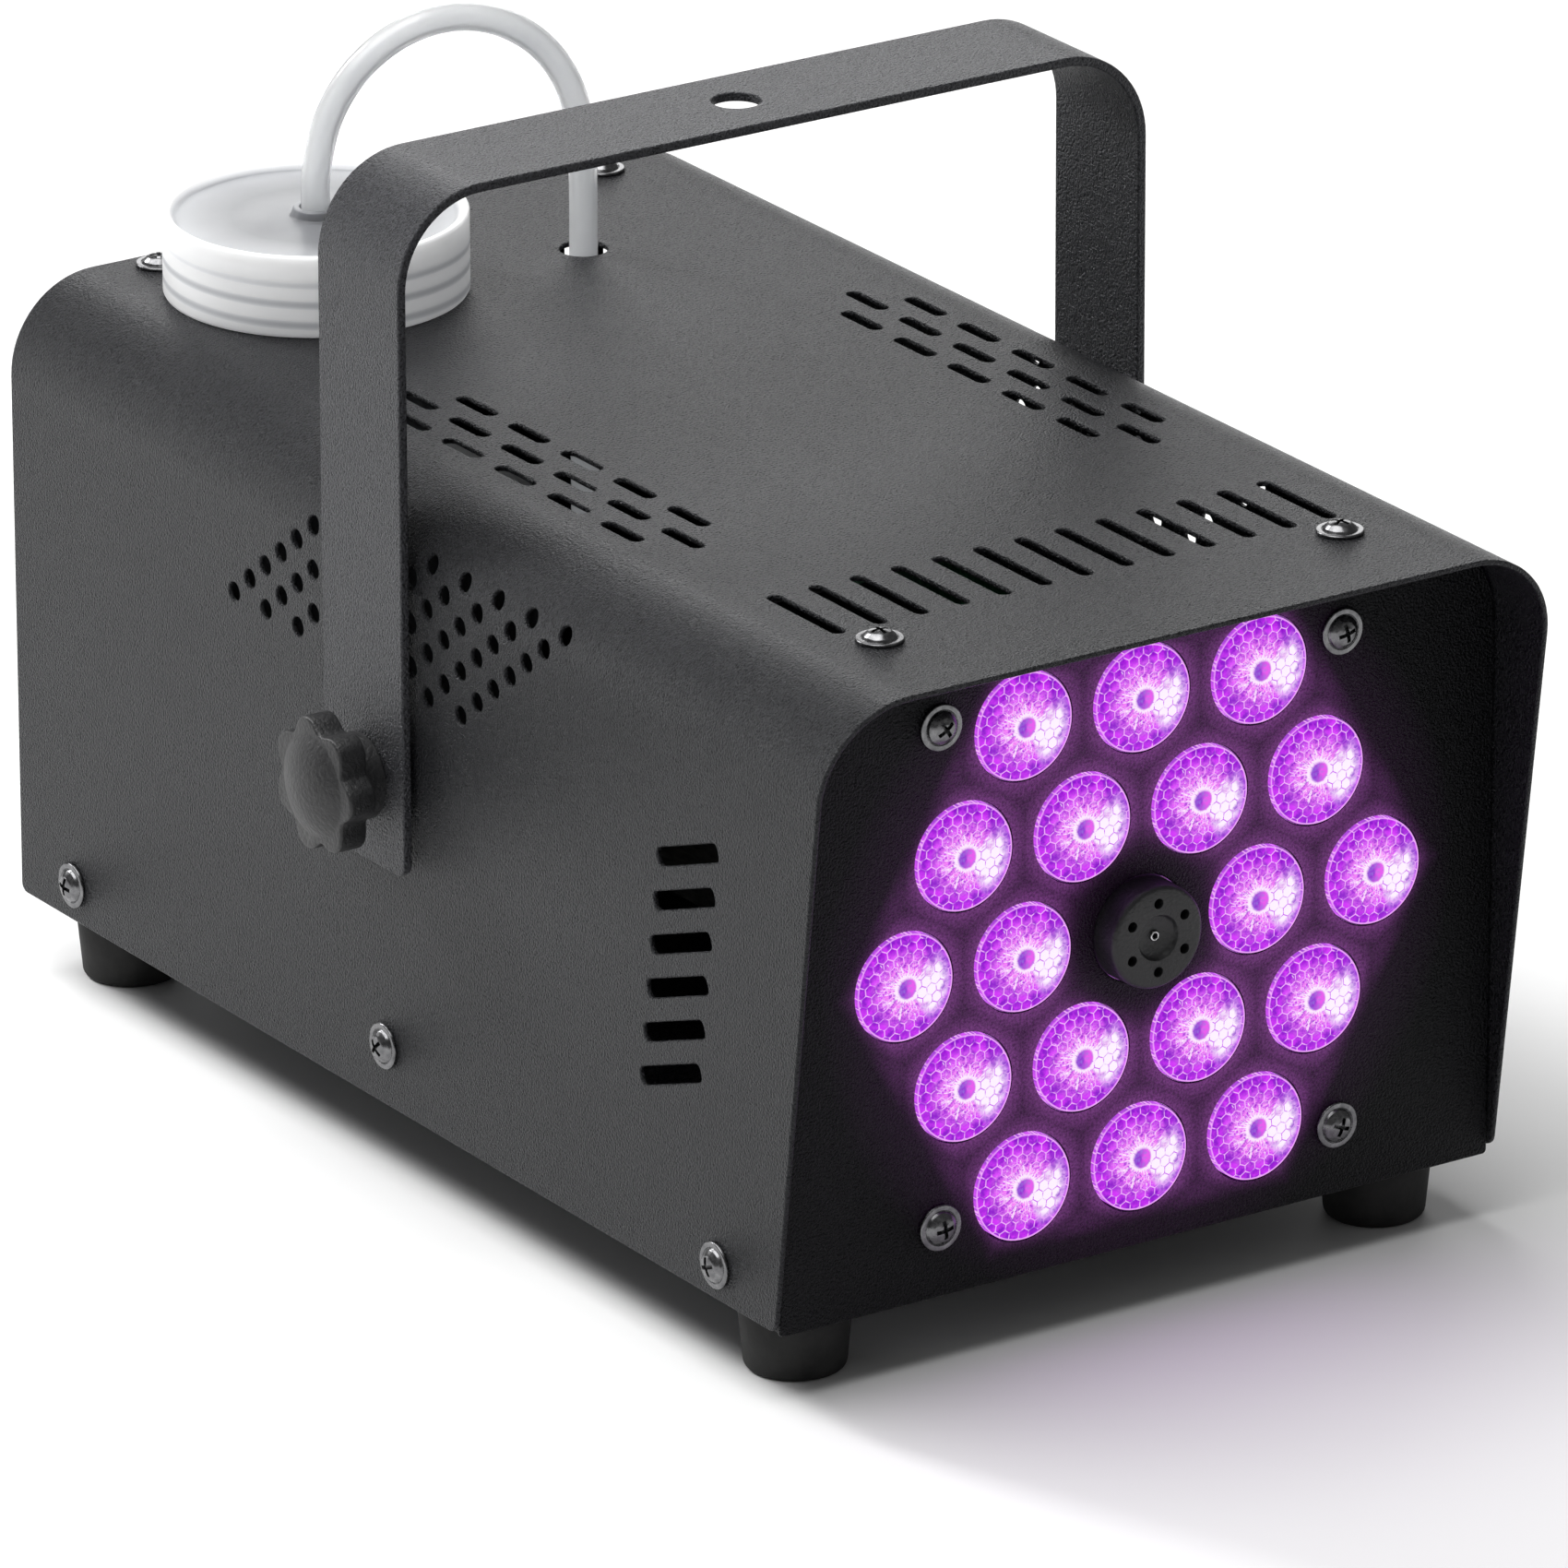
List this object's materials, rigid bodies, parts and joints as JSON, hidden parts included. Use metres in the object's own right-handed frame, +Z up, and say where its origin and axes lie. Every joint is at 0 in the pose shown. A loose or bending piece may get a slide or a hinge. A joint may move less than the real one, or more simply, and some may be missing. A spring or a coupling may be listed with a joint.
{
  "type": "fog machine",
  "caption": "Black sheet-metal fog machine with a hex field of lit violet lenses round its nozzle, a tilting bracket with star knobs, and a capped fluid tank with an arched feed hose.",
  "frame": {"origin": "centre of the machine's box on the surface that its feet stand on", "axes": "+Z up, -Y the way the nozzle and lenses face, +X to the right seen from the front"},
  "size_m": [0.211, 0.3082, 0.2141],
  "materials": {
    "powder_black": "fine matt textured powder coat",
    "moulded_black": "satin moulded",
    "rubber_black": "matt",
    "lens_violet": "clear honeycomb lens lit violet",
    "clear_plastic": "milky translucent",
    "screw_steel": "blackened, with bright edges",
    "bright_steel": "turned",
    "cast_aluminium": "cast",
    "insulation_felt": "woven glass felt",
    "board_white": "white solder mask",
    "board_green": "green solder mask",
    "copper_pipe": "drawn copper",
    "brass_pipe": "drawn brass"
  },
  "bodies": {
    "housing": {"cover": "powder_black", "front_panel": "powder_black", "rear_panel": "powder_black", "base_tray": "powder_black", "nozzle": "moulded_black", "left_spacer": "moulded_black", "right_spacer": "moulded_black", "mains_inlet": "moulded_black", "switch_body": "moulded_black", "fuse_holder": "moulded_black", "remote_socket": "moulded_black", "pump_body": "moulded_black", "foot_front_left": "rubber_black", "foot_front_right": "rubber_black", "foot_rear_left": "rubber_black", "foot_rear_right": "rubber_black", "pump_cradle": "rubber_black", "lens_01": "lens_violet", "lens_02": "lens_violet", "lens_03": "lens_violet", "lens_04": "lens_violet", "lens_05": "lens_violet", "lens_06": "lens_violet", "lens_07": "lens_violet", "lens_08": "lens_violet", "lens_09": "lens_violet", "lens_10": "lens_violet", "lens_11": "lens_violet", "lens_12": "lens_violet", "lens_13": "lens_violet", "lens_14": "lens_violet", "lens_15": "lens_violet", "lens_16": "lens_violet", "lens_17": "lens_violet", "lens_18": "lens_violet", "tank": "clear_plastic", "feed_tube": "clear_plastic", "panel_screw_1": "screw_steel", "panel_screw_2": "screw_steel", "panel_screw_3": "screw_steel", "panel_screw_4": "screw_steel", "cover_screw_1": "screw_steel", "cover_screw_2": "screw_steel", "cover_screw_3": "screw_steel", "cover_screw_4": "screw_steel", "thermostat": "bright_steel", "tube_weight": "bright_steel", "heater_block": "cast_aluminium", "heater_jacket": "insulation_felt", "led_board": "board_white", "control_board": "board_green", "supply_pipe": "copper_pipe", "outlet_pipe": "brass_pipe"},
    "bracket": {"bracket": "powder_black"},
    "left_knob": {"left_knob": "moulded_black"},
    "right_knob": {"right_knob": "moulded_black"},
    "tank_cap": {"tank_cap": "clear_plastic"},
    "power_rocker": {"power_rocker": "moulded_black"},
    "fuse_cap": {"fuse_cap": "moulded_black"},
    "pump_piston": {"pump_piston": "bright_steel"}
  },
  "joints": [
    {"name": "bracket_tilt", "type": "hinge", "parent": "housing", "child": "bracket", "pos_m": [0, 0.00775, 0.0884], "axis": [1, 0, 0], "range_deg": [-36, 50]},
    {"name": "left_knob_turn", "type": "hinge", "parent": "housing", "child": "left_knob", "pos_m": [-0.0899, 0.00775, 0.0884], "axis": [-1, 0, 0], "continuous": true},
    {"name": "right_knob_turn", "type": "hinge", "parent": "housing", "child": "right_knob", "pos_m": [0.0899, 0.00775, 0.0884], "axis": [1, 0, 0], "continuous": true},
    {"name": "cap_turn", "type": "hinge", "parent": "housing", "child": "tank_cap", "pos_m": [-0.0356, 0.11145, 0.158], "axis": [0, 0, 1], "continuous": true},
    {"name": "power_rocker_tilt", "type": "hinge", "parent": "housing", "child": "power_rocker", "pos_m": [0.016, 0.14515, 0.042], "axis": [-1, 0, 0], "range_deg": [0, 14]},
    {"name": "fuse_cap_turn", "type": "hinge", "parent": "housing", "child": "fuse_cap", "pos_m": [0.016, 0.14865, 0.082], "axis": [0, 1, 0], "range_deg": [0, 90]},
    {"name": "pump_stroke", "type": "slide", "parent": "housing", "child": "pump_piston", "axis": [0, 0, -1], "range_m": [0, 0.003], "stiffness_N_per_m": 300, "springref_m": -0.002}
  ]
}
